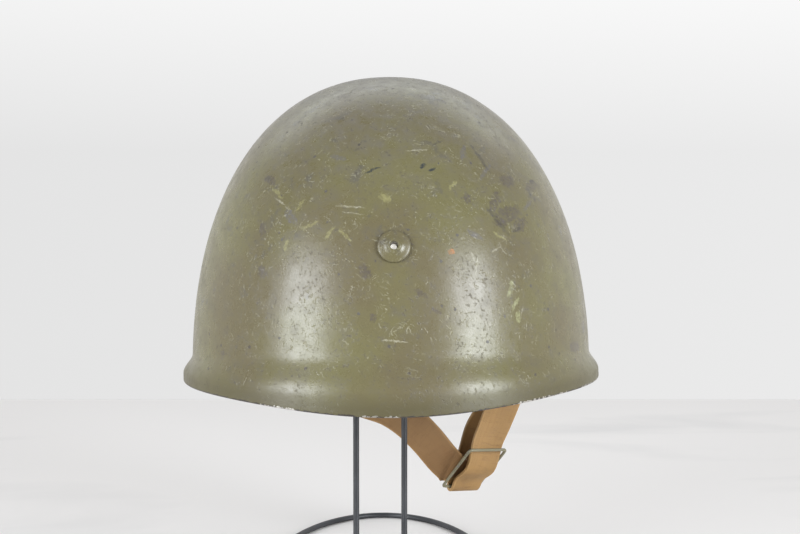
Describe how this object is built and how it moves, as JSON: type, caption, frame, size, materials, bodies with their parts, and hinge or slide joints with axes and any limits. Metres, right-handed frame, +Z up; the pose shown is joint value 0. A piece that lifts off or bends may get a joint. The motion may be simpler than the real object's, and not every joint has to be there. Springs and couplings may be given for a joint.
{
  "type": "military helmet on wire display stand",
  "caption": "Domed pressed-steel helmet with flared rim, hollow vent rivets and a buckled leather chin strap, resting on a welded wire display stand.",
  "frame": {"origin": "on the floor, at the middle of the underside of the stand's cross bar", "axes": "+Z up; +Y towards the front of the helmet, where the wearer's face is; +X towards the wearer's right"},
  "size_m": [0.2371, 0.278, 0.2852],
  "materials": {
    "olive_paint": "worn satin olive paint with scratches",
    "ring_steel": "dull plain steel",
    "tan_leather": "worn tan leather",
    "grey_green_paint": "worn grey-green paint",
    "black_wire": "satin black coating"
  },
  "bodies": {
    "root": {"helmet_shell": "olive_paint", "vent_rivet_rear": "olive_paint", "vent_rivet_front_left": "olive_paint", "vent_rivet_front_right": "olive_paint", "strap_ring_left": "ring_steel", "strap_ring_right": "ring_steel", "chin_strap": "tan_leather", "strap_buckle": "grey_green_paint", "wire_stand": "black_wire"}
  },
  "joints": []
}
